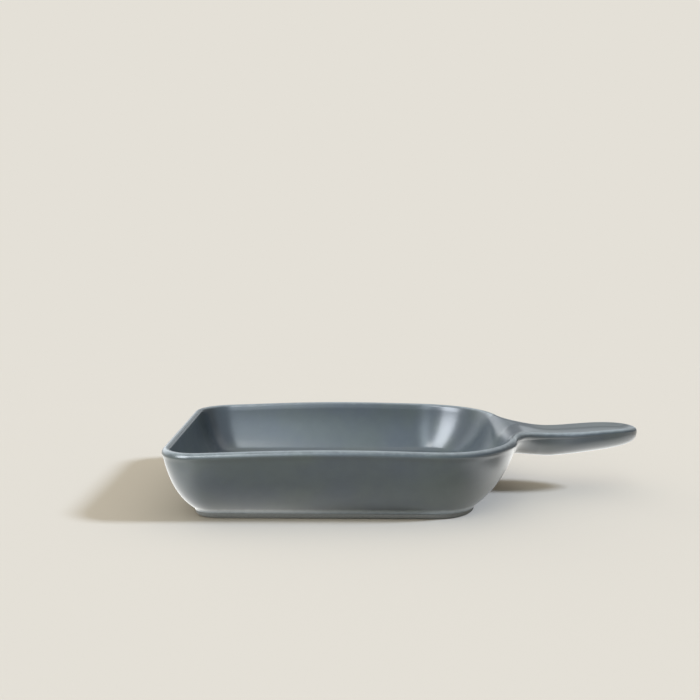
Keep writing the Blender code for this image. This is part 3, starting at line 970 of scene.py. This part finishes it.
def glazed(name, body, drift_to, thin_and_painted_light_to, roughness):
    """A material whose colour, roughness and normal come from the glaze group."""
    material = bpy.data.materials.new(name)
    material.use_nodes = True
    tree = material.node_tree
    shader = tree.nodes["Principled BSDF"]
    shader.inputs["IOR"].default_value = 1.60
    shader.inputs["Coat Weight"].default_value = 0.8
    shader.inputs["Coat Roughness"].default_value = 0.20
    node = tree.nodes.new("ShaderNodeGroup")
    node.node_tree = glaze
    values = (body, drift_to, thin_and_painted_light_to, roughness)
    for label, value in zip(("Body", "Drift", "Thin_and_painted_light", "Roughness"), values):
        node.inputs[label].default_value = value
    tree.links.new(node.outputs["Color"], shader.inputs["Base Color"])
    tree.links.new(node.outputs["Roughness"], shader.inputs["Roughness"])
    tree.links.new(node.outputs["Normal"], shader.inputs["Normal"])
    return material


BODY_COLOUR = (0.037, 0.050, 0.061, 1.0)
DRIFT_COLOUR = (0.043, 0.057, 0.055, 1.0)
# The lighter colour of glaze lying thinly on the edges, and of the band of painted light over the
# foot.
THIN_AND_PAINTED_LIGHT_COLOUR = (0.190, 0.215, 0.220, 1.0)
GLAZE_ROUGHNESS = 0.30
slots = {"slate_glaze_dish": dish, "slate_glaze_handle": handle, "glazed_slip": seam}
for name, piece in slots.items():
    material = glazed(name, BODY_COLOUR, DRIFT_COLOUR, THIN_AND_PAINTED_LIGHT_COLOUR, GLAZE_ROUGHNESS)
    piece.data.materials.append(material)
print("glazed pieces:", dish.name, handle.name, seam.name)

# %% [markdown]
# ## The bare clay
# Fired stoneware without glaze is dry and slightly sandy. It has a grain of fine sand, a few darker
# specks of iron, and no shine. Its colours here are darker than the clay's own, as painted shade under
# the dish.

# %% Bare stoneware
clay = bpy.data.materials.new("bare_stoneware")
clay.use_nodes = True
tree = clay.node_tree
shader = tree.nodes["Principled BSDF"]
place = tree.nodes.new("ShaderNodeTexCoord").outputs["Object"]
grain = noise(tree, place, 900.0, 4.0, 0.7)
# Both colours are darker than the clay's own: painted shade at the foot, under the dish.
colour = mixed(tree, grain, (0.095, 0.096, 0.086, 1.0), (0.165, 0.164, 0.148, 1.0))
iron = between(tree, noise(tree, place, 2200.0, 1.0), 0.62, 0.74, 0.0, 0.6)
colour = mixed(tree, iron, colour, (0.035, 0.028, 0.022, 1.0))
tree.links.new(colour, shader.inputs["Base Color"])
tree.links.new(between(tree, grain, 0.2, 0.8, 0.72, 0.90), shader.inputs["Roughness"])
bump = tree.nodes.new("ShaderNodeBump")
bump.inputs["Strength"].default_value = 0.8
bump.inputs["Distance"].default_value = 0.0001
tree.links.new(grain, bump.inputs["Height"])
tree.links.new(bump.outputs["Normal"], shader.inputs["Normal"])
ring.data.materials.append(clay)
print("bare clay on", ring.name)

# %% [markdown]
# ## The table and the background
# The dish stands on a plain pale table that runs into a background of the same colour. Near the dish
# the table is a real surface that takes its shadow. Further off the camera sees it fade into a plain
# glow of its own colour.
#
# What the glaze mirrors of the table is a painted reflection: a few centimetres out the table glows
# for mirrored rays, grey close in front of the wall and the handle as painted shade, bright at both
# ends and under the handle as painted light brighter than the lit table, and the table's own colour
# further off.

# %% The table's own colour and shadow
PALE = (0.776, 0.745, 0.680, 1.0)
TABLE_SIZE = 6.0
floor_mesh = bpy.data.meshes.new("table")
corners = [(x, y, 0.0) for x, y in ((-1, -1), (1, -1), (1, 1), (-1, 1))]
floor_mesh.from_pydata((np.array(corners) * TABLE_SIZE).tolist(), [], [(0, 1, 2, 3)])
table = bpy.data.objects.new("table", floor_mesh)
bpy.context.scene.collection.objects.link(table)
top = bpy.data.materials.new("pale_table")
top.use_nodes = True
tree = top.node_tree
tree.nodes.remove(tree.nodes["Principled BSDF"])
matt = tree.nodes.new("ShaderNodeBsdfDiffuse")
matt.inputs["Color"].default_value = (0.527, 0.445, 0.338, 1.0)
floor_mesh.materials.append(top)
print("table placed, reaching", TABLE_SIZE, "m each way")

# %% What the camera and the glaze see of the table
# Painted reflection: the glow that mirrored rays see, bright as painted light and grey as painted
# shade.
MIRRORED_PAINTED_LIGHT = (1.65, 1.65, 1.6, 1.0)
MIRRORED_PAINTED_SHADE = (0.56, 0.54, 0.50, 1.0)
MIDDLE_X = -0.03
place = tree.nodes.new("ShaderNodeTexCoord").outputs["Object"]
away = tree.nodes.new("ShaderNodeVectorMath")
away.operation = "LENGTH"
tree.links.new(place, away.inputs[0])
away = away.outputs["Value"]
parts = tree.nodes.new("ShaderNodeSeparateXYZ")
tree.links.new(place, parts.inputs[0])
along, across = parts.outputs["X"], parts.outputs["Y"]
off_middle = calculate(tree, "ABSOLUTE", calculate(tree, "SUBTRACT", along, MIDDLE_X), 0.0)
by_wall = overlap(tree, between(tree, off_middle, 0.078, 0.125, 1.0, 0.0),
                  between(tree, across, -0.10, -0.045, 1.0, 0.0))
by_handle = overlap(tree, between(tree, along, 0.085, 0.105),
                    between(tree, across, -0.055, -0.014, 1.0, 0.0))
shown = mixed(tree, calculate(tree, "MAXIMUM", by_wall, by_handle), MIRRORED_PAINTED_LIGHT, MIRRORED_PAINTED_SHADE)
far_off = calculate(tree, "MAXIMUM", between(tree, away, 0.17, 0.26),
                    between(tree, across, 0.05, 0.09))
shown = mixed(tree, far_off, shown, PALE)
path = tree.nodes.new("ShaderNodeLightPath")
glow = tree.nodes.new("ShaderNodeEmission")
tree.links.new(mixed(tree, path.outputs["Is Glossy Ray"], PALE, shown), glow.inputs["Color"])
seen = overlap(tree, between(tree, away, 0.30, 0.70), path.outputs["Is Camera Ray"])
# Mirrored rays see the glow a few centimetres out: a painted reflection in place of the lit table.
mirrored = overlap(tree, between(tree, away, 0.06, 0.11), path.outputs["Is Glossy Ray"])
both = tree.nodes.new("ShaderNodeMixShader")
tree.links.new(calculate(tree, "MAXIMUM", seen, mirrored), both.inputs[0])
tree.links.new(matt.outputs[0], both.inputs[1])
tree.links.new(glow.outputs[0], both.inputs[2])
tree.links.new(both.outputs[0], tree.nodes["Material Output"].inputs["Surface"])
print("table material:", len(tree.nodes), "nodes")

# %% [markdown]
# ## Lamps and surroundings
# A glaze shows what is round it, so the surroundings matter as much as the lamps. The dish stands in
# a light tent: grey low down, lighter from half way up, bright low at the left behind, and with a tall
# white card in front on the left, which shows in the far wall inside.
#
# Two lamps stand in front on the left and light the dish only. The tall one draws the white strip in
# the right corner, and the small one lights the rim at the near left corner. The shadow has a lamp of
# its own, low at the right, which lights the table only, because the shadow in the photograph points
# away from a light that leaves no mark on the glaze.

# %% The surroundings
world = bpy.data.worlds.new("light_tent")
bpy.context.scene.world = world
world.use_nodes = True
tree = world.node_tree
parts = tree.nodes.new("ShaderNodeSeparateXYZ")
tree.links.new(tree.nodes.new("ShaderNodeTexCoord").outputs["Generated"], parts.inputs[0])


def toward(axis, low, high):
    """How far a direction lies past low and towards high on one axis, from 0 to 1."""
    return between(tree, parts.outputs[axis], low, high)


low_down = mixed(tree, toward("X", -0.50, 0.50), (0.65, 0.65, 0.65, 1.0), (0.30, 0.30, 0.30, 1.0))
front_wall = mixed(tree, toward("X", -0.45, 0.35), (0.90, 1.00, 1.10, 1.0), (0.62, 0.69, 0.76, 1.0))
layers = [
    ("dark behind", [("Y", 0.30, 0.80)], (0.31, 0.32, 0.33, 1.0)),
    ("bright low at the left behind", [("X", -0.14, -0.34), ("Y", 0.10, 0.50), ("Z", 0.0, 0.12)],
     (1.50, 1.56, 1.62, 1.0)),
    ("lighter from half way up", [("Z", 0.38, 0.66)], (0.92, 0.95, 0.98, 1.0)),
    ("the wall in front", [("Y", -0.10, -0.60), ("Z", 0.05, 0.35)], front_wall),
    ("low at the right behind", [("X", 0.12, 0.20), ("Z", 0.30, 0.20), ("Y", 0.80, 0.90)],
     (0.66, 0.71, 0.74, 1.0)),
    ("the roof", [("Z", 0.74, 0.94)], (1.10, 1.14, 1.18, 1.0)),
    ("the white card", [("X", -0.36, -0.22), ("X", 0.04, -0.14), ("Y", -0.05, -0.45),
                        ("Z", 0.05, 0.35)], (2.8, 3.2, 3.5, 1.0)),
]
round_about = low_down
for name, limits, colour in layers:
    mask = overlap(tree, *[toward(*limit) for limit in limits])
    round_about = mixed(tree, mask, round_about, colour)
print("surroundings:", ", ".join(name for name, _, _ in layers))

# %% The surroundings for the dish, a plain pale one for the camera
back = tree.nodes["Background"]
tree.links.new(round_about, back.inputs["Color"])
plain = tree.nodes.new("ShaderNodeBackground")
plain.inputs["Color"].default_value = PALE
path = tree.nodes.new("ShaderNodeLightPath")
both = tree.nodes.new("ShaderNodeMixShader")
tree.links.new(path.outputs["Is Camera Ray"], both.inputs[0])
tree.links.new(back.outputs[0], both.inputs[1])
tree.links.new(plain.outputs[0], both.inputs[2])
tree.links.new(both.outputs[0], tree.nodes["World Output"].inputs["Surface"])
print("world set,", len(tree.nodes), "nodes")

# %% Lamps


def soft_lamp(name, place, aim, size, power, colour=(1.0, 1.0, 1.0)):
    """A rectangular lamp at a place, turned to face the point that it is aimed at."""
    lamp = bpy.data.lights.new(name, "AREA")
    lamp.shape = "RECTANGLE"
    lamp.size, lamp.size_y = size
    lamp.energy = power
    lamp.color = colour
    holder = bpy.data.objects.new(name, lamp)
    x, y, z = np.array(aim) - np.array(place)
    holder.rotation_euler = (math.atan2(math.hypot(x, y), -z), 0.0, math.atan2(-x, y))
    holder.location = place
    holder.visible_camera = False
    bpy.context.scene.collection.objects.link(holder)
    return holder


def link_to_table(holder, state):
    """Light linking: INCLUDE lights the table only, and EXCLUDE all but the table."""
    links = bpy.data.collections.new(holder.name + "_lights")
    links.objects.link(table)
    links.collection_objects[0].light_linking.link_state = state
    holder.light_linking.receiver_collection = links


strip = soft_lamp("lamp_strip", (-0.85, -0.59, 0.60), (0.0, 0.0, 0.02), (0.62, 0.80), 11.5,
                  (0.94, 1.0, 1.08))
corner_lamp = soft_lamp("lamp_front", (-0.39, -0.73, 0.94), (-0.12, -0.08, 0.04), (0.22, 0.30), 1.4)
for holder in (strip, corner_lamp):
    link_to_table(holder, "EXCLUDE")
print("lamps on the dish:", strip.name, corner_lamp.name)

# %% The lamp for the table's shadow
SHADOW_HEIGHT = math.radians(36.0)
SHADOW_TURN = math.radians(80.0)
sun = bpy.data.lights.new("lamp_table", "SUN")
sun.energy = math.pi / math.sin(SHADOW_HEIGHT)
sun.color = (0.490, 0.630, 0.910)
sun.angle = math.radians(10.0)
key = bpy.data.objects.new("lamp_table", sun)
key.rotation_euler = (math.pi / 2.0 - SHADOW_HEIGHT, 0.0, SHADOW_TURN)
bpy.context.scene.collection.objects.link(key)
link_to_table(key, "INCLUDE")
print("lamp on the table:", key.name)

# %% [markdown]
# ## The camera
# The camera stands in front of the dish and looks down on it by under seven degrees. The rim's two
# long sides almost close up at that angle.

# %% Camera
LOOK_DOWN = 0.115
lens = bpy.data.cameras.new("camera")
lens.lens = 50.0
lens.sensor_width = 36.0
camera = bpy.data.objects.new("camera", lens)
camera.location = (-0.0356, -0.5870, 0.1544)
camera.rotation_euler = (math.pi / 2.0 - LOOK_DOWN, 0.0, 0.0)
bpy.context.scene.collection.objects.link(camera)
bpy.context.scene.camera = camera
bpy.context.scene.view_settings.view_transform = "Standard"
print("camera", round(camera.location.length, 3), "m from the middle of the dish")
